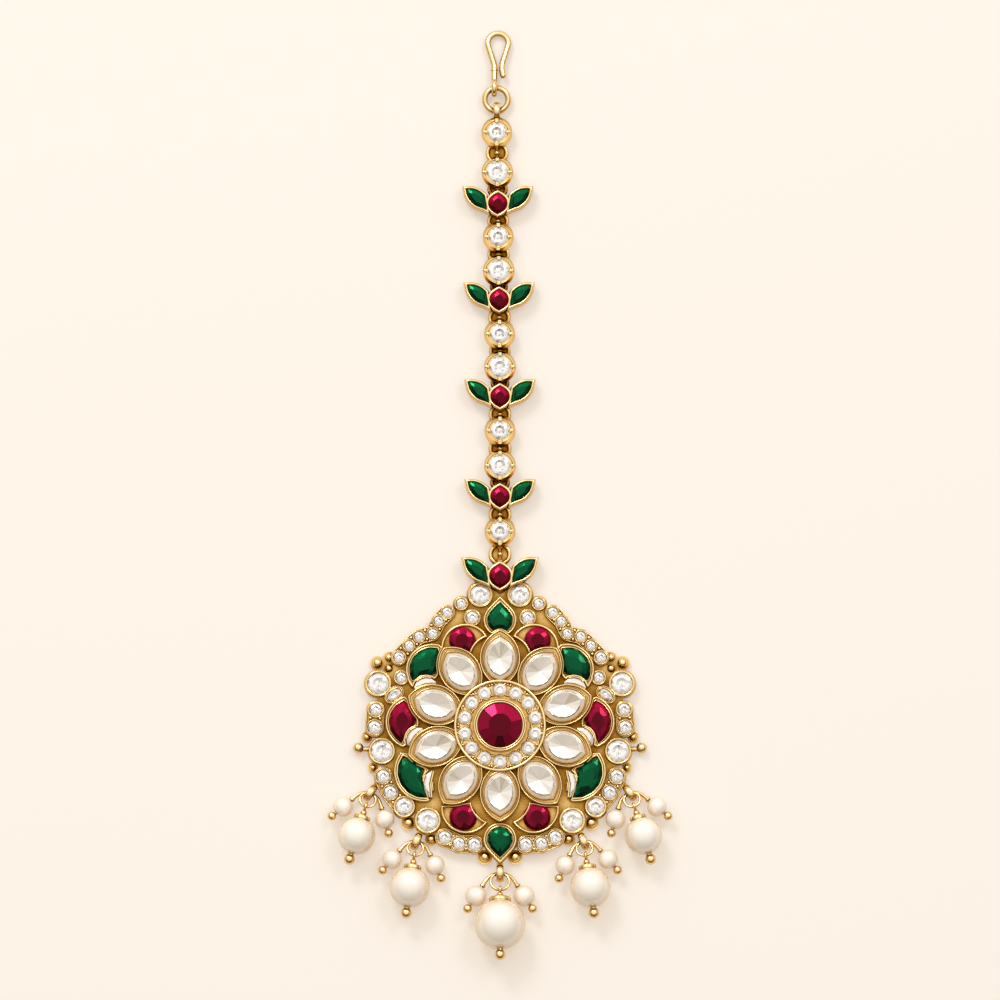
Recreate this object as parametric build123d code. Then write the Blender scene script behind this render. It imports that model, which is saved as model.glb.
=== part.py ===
from build123d import *
import os
from math import asin, atan2, cos, degrees, hypot, pi, radians, sin

# A maang tikka, a hair jewel, lying on its flat back: a hook for the parting, a chain of set stones and a
# round pendant with five pearl drops. Millimetres, +Z up. The origin is the centre of the pendant's back,
# +Y runs along the chain towards the hook.

# Driving dimensions
PEARL_R = 4.0            # centre pearl, an 8 mm bead
FIT = 0.04               # play round a stone in its setting
PLATE_T = 1.0            # back plate of the pendant
FOOT_T = 0.6             # feet that carry the gold balls at its edge
SEAT_Z = 1.0             # floor of the rim settings
RIM_TOP = 1.9            # top of the rim settings
ACCENT_TOP = 2.2         # top of the accent settings
TRAY_FLOOR, TRAY_WALL = 1.65, 0.34   # floor and wall of the trays round the round rubies
CRESCENT_TOP = 2.35      # top of the crescents' settings
PETAL_TOP = 2.9          # top of the petal settings
HALO_TOP = 3.3           # top of the halo's rim
CENTRE_TOP = 4.1         # top of the centre setting
PETALS = 10
PETAL_IN, PETAL_OUT = 6.0, 15.1      # where a petal's two points lie, from the centre
PETAL_HALF = 3.2                     # half the width of a petal
PETAL_WALL = 0.84
HALO_R, HALO_WALL = 7.2, 0.4
HALO_STONES, HALO_STONE_R, HALO_PITCH_R = 14, 1.05, 5.65
CENTRE_R, CENTRE_STONE_R = 4.1, 3.5

LINK_POST_R = 0.8        # foot under each setting of the chain
LINK_HEAD_Z = 1.32       # underside of a chain setting, above the jump rings
LINK_TOP = 2.6           # top of a chain setting
LUG_IN, LUG_OUT, LUG_W = 0.46, 0.95, 0.8
RING_WIRE = 0.33         # half the thickness of the chain's jump rings
RING_Z = 0.87
LUG_REACH = 1.2          # least distance from a link's centre to the jump ring that it holds
RING_R_MAX = 1.5

SMALL_SETTING = (2.25, 1.45)         # outer and stone radius of the chain's round settings
LARGE_SETTING = (2.33, 1.66)
OVAL_R, OVAL_TIP = 1.84, 2.22         # round middle and pointed ends of the chain's oval settings
LEAF_OUT, LEAF_IN, LEAF_SAG = (5.43, 2.67), (1.30, -0.70), 1.40   # from the oval's centre
CREST_SCALE = 1.1
CREST_Y = 23.5

HOOK_WIRE = 0.47
HOOK_LEG, HOOK_SIDE, HOOK_LENGTH = 2.2, 2.75, 9.0    # straight leg and side of the hook, and its reach
HOOK_FLARE, HOOK_THROAT, HOOK_TOP_R = 17, 3.0, 1.6   # angle of the sides, bends that lead to them, top bend
HOOK_EYE_R = 1.0
HOOK_RING_R, HOOK_RING_WIRE = 1.83, 0.45
TOP_BAIL_IN, TOP_BAIL_OUT = 0.9, 1.42

HALF_MOON, HALF_MOON_AT, HALF_MOON_TURN = (1.26, 0.79), (16.53, 4.96), 38
BAIL_IN, BAIL_OUT, BAIL_W = 0.84, 1.38, 1.1

YOKE_WIRE, YOKE_PIN, YOKE_BALL = 0.3, 0.2, 0.7
YOKE_R, YOKE_SWING = 2.67, 57.7       # bow of the yoke: radius and half angle
YOKE_COLLAR, YOKE_COLLAR_W = 0.85, 0.28   # where the collar sits past the bow, and its half width
YOKE_Z, DROP_RING_Z = 0.92, 1.8       # heights at which the bow and the ring pass through the bail
DROP_RING_WIRE, DROP_RING_TILT = 0.21, 23
SMALL_PEARL_R = 1.7
PEARL_GAP = 4.2          # from the bail's middle to the top of the large pearl
PIN_BALL = 0.85


# ---------------------------------------------------------------- stones

def scaled(points, centre, factor):
    return [(centre[0] + (x - centre[0]) * factor, centre[1] + (y - centre[1]) * factor) for x, y in points]


def polygon_face(points, z):
    return Face(Wire.make_polygon([(x, y, z) for x, y in points], close=True))


def cut_stone(girdle, centre, floor, waist, top, foot=0.55, table=0.55):
    """A faceted stone: a table, a crown facet and a lower facet for each side of its girdle."""
    rings = [(scaled(girdle, centre, foot), floor), (girdle, waist), (scaled(girdle, centre, table), top)]
    faces = [polygon_face(rings[0][0], floor), polygon_face(rings[-1][0], top)]
    for (low, z_low), (high, z_high) in zip(rings, rings[1:]):
        for i in range(len(girdle)):
            j = (i + 1) % len(girdle)
            corners = [(*low[i], z_low), (*low[j], z_low), (*high[j], z_high), (*high[i], z_high)]
            faces.append(Face(Wire.make_polygon(corners, close=True)))
    return Solid(Shell(faces))


def seat(girdle, centre, floor, top):
    """The room that a stone needs in its setting."""
    play = 1 + FIT / min(hypot(x - centre[0], y - centre[1]) for x, y in girdle)
    return extrude(polygon_face(scaled(girdle, centre, play), floor), top - floor, dir=(0, 0, 1))


def round_girdle(x, y, radius, sides=8):
    return [(x + radius * cos(2 * pi * (i + 0.5) / sides), y + radius * sin(2 * pi * (i + 0.5) / sides))
            for i in range(sides)]


def arc_points(a, b, sag, steps):
    """Points along the arc from a to b, both left out, that bulges by sag to the left of the way."""
    ax, ay, bx, by = *a, *b
    half = hypot(bx - ax, by - ay) / 2
    radius = (half * half + sag * sag) / (2 * sag)
    swing = 2 * asin(half / radius) if sag <= half else 2 * (pi - asin(half / radius))
    ux, uy = (bx - ax) / (2 * half), (by - ay) / (2 * half)
    found = []
    for k in range(1, steps + 1):
        turn = -swing / 2 + swing * k / (steps + 1)
        along, out = radius * sin(turn), radius * cos(turn) - (radius - sag)
        found.append(((ax + bx) / 2 + ux * along - uy * out, (ay + by) / 2 + uy * along + ux * out))
    return found


def lens_girdle(a, b, sag, other, steps=4):
    return [a, *arc_points(a, b, sag, steps), b, *arc_points(b, a, other, steps)]


def pushed_clear(points, guards):
    """Moves each point inside a guard out of it. A guard is a lens: the overlap of circles (x, y, radius)."""
    moved = []
    for x, y in points:
        for circles in guards:
            depths = [radius - hypot(x - cx, y - cy) for cx, cy, radius in circles]
            if min(depths) > 0:
                cx, cy, radius = circles[depths.index(min(depths))]
                reach = hypot(x - cx, y - cy)
                x, y = cx + (x - cx) * radius / reach, cy + (y - cy) * radius / reach
        moved.append((x, y))
    return moved


# ---------------------------------------------------------------- outlines and plain solids

def lens_face(a, b, sag, other):
    """A pointed shape between a and b, bulging by sag to the left of the way and by other to the right."""
    left = ThreePointArc(a, arc_points(a, b, sag, 1)[0], b)
    right = ThreePointArc(b, arc_points(b, a, other, 1)[0], a)
    return make_face(Wire([left.edge(), right.edge()]).edges())


def lift(face, low, high):
    return extrude(Pos(0, 0, low) * face, high - low, dir=(0, 0, 1))


def disc(x, y, radius, low, high):
    return Pos(x, y, (low + high) / 2) * Cylinder(radius, high - low)


def ball(x, y, z, radius):
    return Pos(x, y, z) * Sphere(radius)


def bail(inner, outer, width):
    """A rounded loop in the YZ plane, centred on the origin, seen edge-on from above."""
    middle, thick = (inner + outer) / 2, (outer - inner) / 2
    section = Pos(0, middle) * Ellipse(width / 2, thick)
    return revolve(section, Axis.X)


# ---------------------------------------------------------------- chain

# Each link of the chain from the hook down: its kind and the height of its centre
LINKS = [
    ("small", 93.48), ("large", 87.17), ("flower", 82.19), ("small", 76.96), ("large", 71.63), ("flower", 67.01),
    ("small", 61.66), ("large", 56.48), ("flower", 51.76), ("small", 46.43), ("large", 40.91), ("flower", 36.02),
    ("small", 30.57),
]
LEAN_FROM, LEAN = 57.0, -0.0138      # above this height the chain leans slightly to the left
CREST_LUG = 2.1


def chain_x(y):
    return LEAN * max(0.0, y - LEAN_FROM)


def ring_between(upper, lower, lower_reach=None):
    """Reach of the upper lug, centre and radius of the jump ring that joins two links."""
    gap = upper - lower
    reach = lower_reach or LUG_REACH
    radius = min(RING_R_MAX, (gap - reach - LUG_REACH) / 2)
    if lower_reach is None:
        reach = gap / 2 - radius
    upper_reach = gap - reach - 2 * radius
    return upper_reach, reach, upper - upper_reach - radius, radius


def lug(reach):
    return Pos(0, reach, LUG_OUT) * bail(LUG_IN, LUG_OUT, LUG_W)


def oval_outline(scale, wall, steps):
    """A circle drawn out to a point at its top and bottom, anticlockwise from the lower point."""
    radius, tip = OVAL_R * scale - wall, OVAL_TIP * scale - 1.3 * wall
    touch = degrees(asin(radius / tip))
    right = [(radius * cos(radians(a)), radius * sin(radians(a)))
             for a in (-touch + 2 * touch * k / steps for k in range(steps + 1))]
    return [(0, -tip), *right, (0, tip), *((-x, -y) for x, y in right)]


def oval_girdle(scale=1.0, wall=0.42):
    return oval_outline(scale, wall, 4)


def oval_face(scale):
    low, right_low, right, right_high, high, left_high, left, left_low = oval_outline(scale, 0, 2)
    edges = [Line(low, right_low), ThreePointArc(right_low, right, right_high), Line(right_high, high),
             Line(high, left_high), ThreePointArc(left_high, left, left_low), Line(left_low, low)]
    return make_face(Wire([edge.edge() for edge in edges]).edges())


def leaf_girdle(side, scale=1.0, wall=0.36):
    """Girdle of the leaf stone on one side of an oval, cut back to the oval's setting."""
    tip, root = LEAF_OUT, LEAF_IN
    length = hypot(tip[0] - root[0], tip[1] - root[1])
    ux, uy = (tip[0] - root[0]) / length, (tip[1] - root[1]) / length
    tip = (tip[0] - ux * 1.6 * wall, tip[1] - uy * 1.6 * wall)
    sag = LEAF_SAG - wall
    points = lens_girdle(root, tip, sag, sag)
    points = pushed_clear(points, [[(0, 0, OVAL_R + 0.18)]])
    return [(side * x * scale, y * scale) for x, y in points]


def leaf_face(side, scale=1.0):
    root = (side * LEAF_IN[0] * scale, LEAF_IN[1] * scale)
    tip = (side * LEAF_OUT[0] * scale, LEAF_OUT[1] * scale)
    return lens_face(root, tip, LEAF_SAG * scale, LEAF_SAG * scale)


def middle_of(points):
    return sum(x for x, _ in points) / len(points), sum(y for _, y in points) / len(points)


def flower_setting(scale, top, foot):
    """A pointed oval setting with a leaf setting on each side, on a round foot."""
    body = lift(oval_face(scale), LINK_HEAD_Z, top) + disc(0, 0, foot, 0, LINK_HEAD_Z + 0.1)
    body += [lift(leaf_face(side, scale), 0.4, top) for side in (-1, 1)]
    body -= seat(oval_girdle(scale), (0, 0), top - 0.7, top + 1)
    for side in (-1, 1):
        girdle = leaf_girdle(side, scale)
        body -= seat(girdle, middle_of(girdle), top - 0.7, top + 1)
    return body


def stone_setting(outer, stone):
    """A round setting with four claws: foot, flared head, sloping shoulder and upright collar."""
    collar = stone + 0.3
    profile = [
        (0, 0), (LINK_POST_R, 0), (LINK_POST_R, LINK_HEAD_Z), (outer - 0.3, LINK_HEAD_Z + 0.22),
        (outer, LINK_HEAD_Z + 0.45), (outer, LINK_TOP - 0.55), (collar, LINK_TOP), (0, LINK_TOP),
    ]
    section = Plane.XZ * make_face(Polyline(*profile, close=True))
    body = revolve(section, Axis.Z)
    claw_mid, claw_length = (stone + outer) / 2 - 0.06, outer - stone - 0.12
    for turn in range(4):
        claw = Pos(claw_mid, 0, LINK_TOP - 0.3) * Box(claw_length, 0.5, 1.2)
        body += Rot(Z=90 * turn) * claw
    return body - disc(0, 0, stone + FIT, LINK_TOP - 0.75, LINK_TOP + 1)


def chain_links():
    """Every setting of the chain with its lugs, and the gems and jump rings that belong to it."""
    metal, crystals, rubies, emeralds, rings = {}, [], [], [], []
    reach_up = None
    count = {"stone": 0, "flower": 0}
    for row, (kind, y) in enumerate(LINKS):
        last = row == len(LINKS) - 1
        below = CREST_Y if last else LINKS[row + 1][1]
        reach_down, next_up, ring_y, radius = ring_between(y, below, CREST_LUG if last else None)
        place = Pos(chain_x(y), y)
        rings.append(Pos(chain_x(ring_y), ring_y, RING_Z) * Torus(radius, RING_WIRE))
        if kind == "flower":
            body = flower_setting(1.0, LINK_TOP, LINK_POST_R)
            oval = oval_girdle()
            rubies.append(place * cut_stone(oval, (0, 0), LINK_TOP - 0.67, LINK_TOP, LINK_TOP + 0.5))
            for side in (-1, 1):
                leaf = leaf_girdle(side)
                emeralds.append(place * cut_stone(leaf, middle_of(leaf), LINK_TOP - 0.67, LINK_TOP - 0.05,
                                                  LINK_TOP + 0.3))
            node = "flower"
        else:
            outer, stone = SMALL_SETTING if kind == "small" else LARGE_SETTING
            body = stone_setting(outer, stone)
            girdle = round_girdle(0, 0, stone)
            crystals.append(place * cut_stone(girdle, (0, 0), LINK_TOP - 0.72, LINK_TOP - 0.05,
                                              LINK_TOP + 0.45, foot=0.4))
            node = "stone"
        body += lug(-reach_down)
        if row:
            body += lug(reach_up)
        else:
            body += Pos(0, outer + TOP_BAIL_OUT - 0.2, TOP_BAIL_OUT) * bail(TOP_BAIL_IN, TOP_BAIL_OUT, 1.0)
        count[node] += 1
        metal[f"{node}_link_{count[node]}"] = place * body
        reach_up = next_up
    return metal, crystals, rubies, emeralds, rings


# ---------------------------------------------------------------- hook

TOP_BAIL_Y = LINKS[0][1] + SMALL_SETTING[0] + TOP_BAIL_OUT - 0.2
HOOK_X = chain_x(TOP_BAIL_Y) - 0.35


def hook_ring():
    """The ring between chain and hook, tilted because the chain's loop holds it lower than the hook's eye."""
    low = TOP_BAIL_OUT - TOP_BAIL_IN + HOOK_RING_WIRE + 0.05
    tilt = degrees(asin((HOOK_EYE_R + HOOK_WIRE - low - 0.05) / (2 * HOOK_RING_R)))
    return Pos(chain_x(TOP_BAIL_Y), TOP_BAIL_Y, low) * Rot(X=tilt) * Pos(0, HOOK_RING_R) * Torus(
        HOOK_RING_R, HOOK_RING_WIRE)


def hair_hook():
    """A wire bent to a long drop that closes on itself, with an eye round the ring; it slopes to the floor."""
    centre_z = HOOK_EYE_R + HOOK_WIRE - 0.02
    eye_y = TOP_BAIL_Y + 2 * HOOK_RING_R - 0.03
    leg = Line((0, 0), (0, HOOK_LEG))
    out = JernArc(leg @ 1, leg % 1, HOOK_THROAT, HOOK_FLARE)
    rise = Line(out @ 1, (out @ 1) + (out % 1) * HOOK_SIDE)
    top = JernArc(rise @ 1, rise % 1, HOOK_TOP_R, -180 - 2 * HOOK_FLARE)
    fall = Line(top @ 1, (top @ 1) + (top % 1) * HOOK_SIDE)
    back = JernArc(fall @ 1, fall % 1, HOOK_THROAT, HOOK_FLARE + 14)
    tail = Line(back @ 1, (back @ 1) + (back % 1) * 0.5)
    path = Wire([piece.edge() for piece in (leg, out, rise, top, fall, back, tail)])
    wire = sweep(Plane(origin=(0, 0, 0), z_dir=(0, 1, 0)) * Circle(HOOK_WIRE), path=path)
    end = tail @ 1
    wire += ball(end.X, end.Y, 0, HOOK_WIRE)
    slope = degrees(asin((centre_z - HOOK_WIRE) / HOOK_LENGTH))
    wire = Rot(X=-slope) * wire
    eye = Rot(Y=90) * Torus(HOOK_EYE_R, HOOK_WIRE - 0.05)
    wrap = Pos(0, HOOK_EYE_R + 1.9, -0.15) * Rot(X=90 - slope) * Cylinder(HOOK_WIRE + 0.08, 0.3)
    body = eye + Pos(0, HOOK_EYE_R) * wire + wrap
    return Pos(HOOK_X, eye_y, centre_z) * body


# ---------------------------------------------------------------- pendant

# Round settings along the pendant's edge and two inside it, on the left half, from the top:
# distance left of the middle, height, radius of the setting, radius of the stone
RIM = [
    (3.08, 20.69, 1.96, 1.57), (6.06, 19.28, 1.10, 0.83), (8.26, 17.87, 1.07, 0.86), (9.59, 16.53, 0.99, 0.79),
    (10.53, 14.57, 0.99, 0.79), (12.65, 14.10, 1.02, 0.83), (14.22, 12.69, 0.99, 0.79), (15.79, 10.80, 1.13, 0.89),
    (19.04, 6.72, 2.04, 1.68), (19.41, 2.64, 1.30, 1.02), (19.61, -0.19, 1.30, 1.10), (18.46, -3.88, 2.04, 1.73),
    (18.26, -7.88, 1.30, 1.10), (17.13, -10.39, 1.26, 1.10), (14.96, -12.59, 1.68, 1.37),
    (11.29, -14.76, 2.04, 1.68), (8.65, -17.46, 1.26, 1.10), (6.45, -18.40, 1.21, 1.02), (4.02, -18.56, 1.26, 1.10),
]
INNER = [(4.33, 17.08, 1.33, 1.02), (15.43, 7.66, 1.18, 0.91)]

# Gold balls on the left half: distance left of the middle, height, radius
BALLS = [
    (19.17, 10.02, 0.79), (17.36, 10.88, 0.60), (17.36, 9.15, 0.60), (20.82, -1.60, 0.55), (22.15, -3.33, 0.83),
    (19.88, -6.40, 0.47), (14.30, -15.10, 0.79), (10.77, -17.62, 0.63), (2.37, -20.44, 0.79),
]

BALL_ON_ARM = 22         # the ball further out than this stands on a short arm

# Pointed accent settings on the left half: name, stone, upper end, lower end, how far they bulge outwards
SIDE_ACCENTS = [
    ("upper_emerald", (9.36, 12.76), (13.75, 6.09), 2.98),
    ("side_ruby", (15.00, 4.68), (15.17, -3.33), 2.83),
    ("lower_emerald", (15.48, -4.11), (11.08, -11.80), 3.06),
]
# Trays of the round rubies beside the middle line, left half: name, outer end, inner end, bulge, the point
# where the hollow inner side ends, its bulge, ruby centre and radius
TRAYS = [
    ("top_ruby", (9.20, 11.90), (1.95, 14.00), 3.10, (4.55, 11.20), 0.55, (5.90, 13.45), 1.80),
    ("bottom_ruby", (9.20, -12.50), (1.98, -15.05), 3.00, (4.55, -11.95), 0.55, (5.75, -14.25), 1.86),
]
TEAR_TIP, TEAR_EYE, TEAR_R = 20.40, 16.65, 2.59       # top and bottom teardrop: tip and round end
TEAR_DROP = 1.10                                      # the bottom one sits this much further out
CRESCENTS = [(162, 0.2), (198, 0.2), (234, 1.3)]       # petals of the left half with a crescent, and its gap
DROPS = [
    # name, bail's distance left, bail's height, turn of the bail, fan of the drop, pearl radius, yoke scale
    ("centre", 0.0, -23.03, 0, 0, PEARL_R, 1.0),
    ("inner", 13.05, -18.05, 22, 8, 3.2, 0.86),
    ("outer", 20.30, -10.45, 36, 17, 2.95, 0.86),
]


def petal_arc():
    """Centre offset and radius of the arcs that bound a petal lying along +X."""
    half = (PETAL_OUT - PETAL_IN) / 2
    radius = (half * half + PETAL_HALF * PETAL_HALF) / (2 * PETAL_HALF)
    return (PETAL_IN + PETAL_OUT) / 2, PETAL_HALF - radius, radius


def turned(points, degrees_ccw):
    c, s = cos(radians(degrees_ccw)), sin(radians(degrees_ccw))
    return [(x * c - y * s, x * s + y * c) for x, y in points]


def petal_guards(margin, crescent_margin=1.3):
    """For each petal, the two circles whose overlap it is, grown by the room that its neighbours leave."""
    mid, offset, radius = petal_arc()
    guards = []
    for k in range(PETALS):
        angle = (90 + 360 / PETALS * k) % 360
        grown = [margin, margin]
        for petal, gap in CRESCENTS:
            if petal in (angle, (180 - angle) % 360):
                grown[0 if cos(radians(angle)) > 0 else 1] += gap + crescent_margin - margin
        guards.append([(*turned([(mid, side * offset)], angle)[0], radius + grow)
                       for side, grow in zip((1, -1), grown)])
    return guards


def petal_girdle():
    return lens_girdle((PETAL_IN + 1.15, 0), (PETAL_OUT - 1.15, 0), PETAL_HALF - PETAL_WALL,
                       PETAL_HALF - PETAL_WALL)


def crescent_girdle(gap, grow=0.0):
    """A slim moon outside the left-hand arc of a petal lying along +X, seen from the centre."""
    mid, offset, radius = petal_arc()
    inner, outer, low, high = radius + gap - grow, radius + gap + 0.9 + grow, 38 - 4 * grow, 78 + 4 * grow
    outside = [(outer - abs(t) ** 3 * (outer - inner - 0.12), (low + high) / 2 + t * (high - low) / 2)
               for t in (-0.95, -0.6, -0.2, 0.2, 0.6, 0.95)]
    inside = [(inner + 0.06, high), (inner, (low + high) / 2), (inner + 0.06, low)]
    return [(mid + r * cos(radians(a)), offset + r * sin(radians(a))) for r, a in outside + inside]


def crescents(grow=0.0):
    """The girdle of each crescent on both halves, with its middle."""
    for petal, gap in CRESCENTS:
        right = turned(crescent_girdle(gap, grow), 180 - petal)
        for side in (-1, 1):
            points = [(side * x, y) for x, y in right]
            yield points, middle_of(points)


def side_accent_girdle(upper, lower, bulge, wall=0.62):
    """Girdle of an accent stone on the right half, clear of the petals and crescents beside it."""
    length = hypot(upper[0] - lower[0], upper[1] - lower[1])
    ux, uy = (upper[0] - lower[0]) / length, (upper[1] - lower[1]) / length
    a = (lower[0] + ux * wall * 1.2, lower[1] + uy * wall * 1.2)
    b = (upper[0] - ux * wall * 1.2, upper[1] - uy * wall * 1.2)
    return pushed_clear(lens_girdle(a, b, 2.0, bulge - wall, steps=5), petal_guards(0.12))


def tear_face(sign, grow=0.0):
    """Outline of the teardrop above (sign 1) or below (sign -1) the petals."""
    shift = 0 if sign > 0 else TEAR_DROP
    radius = TEAR_R + grow
    eye, tip = TEAR_EYE + shift, TEAR_TIP + shift + grow * 1.5
    turn = asin(radius / (tip - eye))
    touch_x, touch_y = radius * cos(turn), eye + radius * sin(turn)
    left, right, point = (-touch_x, touch_y * sign), (touch_x, touch_y * sign), (0, tip * sign)
    lines = [Line(left, point), Line(point, right), ThreePointArc(right, (0, (eye - radius) * sign), left)]
    return make_face(Wire([line.edge() for line in lines]).edges())


def tear_girdle(sign, wall=0.66):
    shift = 0 if sign > 0 else TEAR_DROP
    radius = TEAR_R - wall
    eye, tip = TEAR_EYE + shift, TEAR_TIP + shift - wall * 1.5
    turn = asin(radius / (tip - eye))
    around = [turn - (pi + 2 * turn) * k / 8 for k in range(9)]
    points = [(radius * cos(a), eye + radius * sin(a)) for a in around] + [(0, tip)]
    points = pushed_clear(points, petal_guards(0.12))
    return [(x, y * sign) for x, y in points]


def tray_face(outer, inner, bulge, hollow_end, hollow):
    """Outline of a round ruby's tray on the right half: two arcs, the inner one hollow, and a hidden side."""
    way = -1 if outer[1] > 0 else 1
    rim = arc_points(outer, inner, bulge, 1)[0] if way > 0 else arc_points(inner, outer, bulge, 1)[0]
    dent = arc_points(hollow_end, inner, hollow, 1)[0] if way > 0 else arc_points(inner, hollow_end, hollow, 1)[0]
    edges = [ThreePointArc(outer, rim, inner).edge(), ThreePointArc(inner, dent, hollow_end).edge(),
             Line(hollow_end, outer).edge()]
    return make_face(Wire(edges).edges())


def mirrored(face, side):
    """The face itself on the right half, or its mirror image on the left."""
    return face if side > 0 else mirror(face, about=Plane.YZ)


def plate():
    """The back plate: everything within the ring of rim settings, with a lobe round each of them, and the feet."""
    corners = [(-x, y) for x, y, _, _ in RIM] + [(x, y) for x, y, _, _ in reversed(RIM)]
    outline = make_face(Polyline(*corners, close=True))
    outline += [Pos(side * x, y) * Circle(r + 0.22) for x, y, r, _ in RIM for side in (-1, 1)]
    outline += Pos(0, CREST_Y - 2.3) * Rectangle(3.4, 3.0)
    outline += tear_face(-1, 0.12)
    feet = [disc(side * x, y, r + 0.35, 0, FOOT_T) for x, y, r in BALLS if x < BALL_ON_ARM for side in (-1, 1)]
    return lift(outline, 0, PLATE_T) + feet


def half_moon(side, grow=0.0):
    """Girdle of the small oval stone beside the upper accent, on either half."""
    across, down = HALF_MOON[0] + grow, HALF_MOON[1] + grow
    flat = [(across * cos(radians(a)), down * sin(radians(a))) for a in range(15, 375, 30)]
    return [(side * (HALF_MOON_AT[0] + x), HALF_MOON_AT[1] + y) for x, y in turned(flat, -HALF_MOON_TURN)]


def low_settings():
    """Rim settings, accents, trays, crescents and balls: the storey next to the plate."""
    solids, seats = [], []
    for side in (-1, 1):
        for x, y, r, stone in RIM + INNER:
            solids.append(disc(side * x, y, r, 0.5, RIM_TOP))
            seats.append(disc(side * x, y, stone + FIT, SEAT_Z, RIM_TOP + 1))
        for x, y, r in BALLS:
            solids.append(ball(side * x, y, max(r, 1.0), r))
        for _, upper, lower, bulge in SIDE_ACCENTS:
            face = mirrored(lens_face(lower, upper, 2.4, bulge), side)
            solids.append(lift(face, 0.5, ACCENT_TOP))
        for _, outer, inner, bulge, end, dent, _, _ in TRAYS:
            face = mirrored(tray_face(outer, inner, bulge, end, dent), side)
            solids.append(lift(face, 0.5, ACCENT_TOP))
            seats.append(lift(offset(face, -TRAY_WALL), TRAY_FLOOR, ACCENT_TOP + 1))
    solids += [lift(tear_face(sign), 0.5, ACCENT_TOP) for sign in (-1, 1)]
    solids += [lift(polygon_face(points, 0), 0.5, CRESCENT_TOP) for points, _ in crescents(0.3)]
    seats += [seat(points, centre, CRESCENT_TOP - 0.8, CRESCENT_TOP + 1) for points, centre in crescents()]
    for side in (-1, 1):
        girdle = half_moon(side)
        solids.append(lift(polygon_face(half_moon(side, 0.45), 0), 0.5, RIM_TOP))
        seats.append(seat(girdle, middle_of(girdle), SEAT_Z, RIM_TOP + 1))
    return solids, seats


def accent_stones():
    """Name, girdle and centre of every accent stone."""
    stones = []
    for side, hand in ((-1, "left"), (1, "right")):
        for name, upper, lower, bulge in SIDE_ACCENTS:
            girdle = [(x * side, y) for x, y in side_accent_girdle(upper, lower, bulge)]
            stones.append((f"{name}_{hand}", girdle, middle_of(girdle)))
        for name, _, _, _, _, _, (x, y), stone in TRAYS:
            girdle = pushed_clear(round_girdle(x, y, stone, 10), petal_guards(0.1))
            stones.append((f"{name}_{hand}", [(side * u, v) for u, v in girdle], (side * x, y)))
    for sign, name in ((1, "top_emerald"), (-1, "bottom_emerald")):
        girdle = tear_girdle(sign)
        stones.append((name, girdle, middle_of(girdle)))
    return stones


def bail_neck(x, y, turn, side):
    """The soldered loop that carries a drop, and the short neck that joins it to the plate."""
    loop = Pos(0, 0, BAIL_OUT + 0.02) * bail(BAIL_IN, BAIL_OUT, BAIL_W)
    neck = Pos(0, BAIL_OUT + 0.35, 0.95) * Box(0.9, 1.6, 0.8)
    return Pos(side * x, y) * Rot(Z=side * turn) * (loop + neck)


def neck_ball(side):
    """The short arm under the largest side ball."""
    return Pos(side * 20.9, -3.5, 0.85) * Rot(Y=90) * Cylinder(0.4, 2.0)


def pendant_frame(accents):
    solids, seats = low_settings()
    frame = plate() + solids
    frame += [neck_ball(side) for side in (-1, 1)]
    for girdle, centre in [(g, c) for _, g, c in accents]:
        seats.append(seat(girdle, centre, ACCENT_TOP - 1.0, ACCENT_TOP + 1))
    frame -= seats
    step = 360 / PETALS
    petal = lift(lens_face((PETAL_IN, 0), (PETAL_OUT, 0), PETAL_HALF, PETAL_HALF), 0.5, PETAL_TOP)
    frame += [Rot(Z=90 + step * k) * petal for k in range(PETALS)]
    opening = seat(petal_girdle(), ((PETAL_IN + PETAL_OUT) / 2, 0), PETAL_TOP - 1.0, PETAL_TOP + 1)
    frame -= [Rot(Z=90 + step * k) * opening for k in range(PETALS)]
    frame += disc(0, 0, HALO_R, 0.5, HALO_TOP)
    frame -= disc(0, 0, HALO_R - HALO_WALL, HALO_TOP - 0.3, HALO_TOP + 1)
    frame += disc(0, 0, CENTRE_R, HALO_TOP - 0.5, CENTRE_TOP)
    frame -= disc(0, 0, CENTRE_STONE_R + FIT, CENTRE_TOP - 1.0, CENTRE_TOP + 1)
    frame -= [disc(HALO_PITCH_R * cos(t), HALO_PITCH_R * sin(t), HALO_STONE_R + FIT, HALO_TOP - 1.0, HALO_TOP)
              for t in halo_angles()]
    frame += Pos(0, CREST_Y) * (flower_setting(CREST_SCALE, LINK_TOP + 0.2, LINK_POST_R + 0.5) + lug(CREST_LUG))
    for _, x, y, turn, *_ in DROPS:
        frame += [bail_neck(x, y, turn, side) for side in ((-1, 1) if x else (1,))]
    return frame


def halo_angles():
    return [radians(90 + 360 / HALO_STONES * k) for k in range(HALO_STONES)]


def petal_stone(angle):
    """A rose-cut stone, trimmed where the halo covers its inner point."""
    mid = (PETAL_IN + PETAL_OUT) / 2
    points = [(max(x, HALO_R + 0.06), y) if x < mid else (x, y) for x, y in petal_girdle()]
    kept = []
    for point in points:
        if not kept or hypot(point[0] - kept[-1][0], point[1] - kept[-1][1]) > 0.05:
            kept.append(point)
    centre = turned([(mid, 0)], angle)[0]
    return cut_stone(turned(kept, angle), centre, PETAL_TOP - 0.97, PETAL_TOP - 0.1, PETAL_TOP + 0.5, foot=0.8,
                     table=0.5)


# ---------------------------------------------------------------- drops

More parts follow.
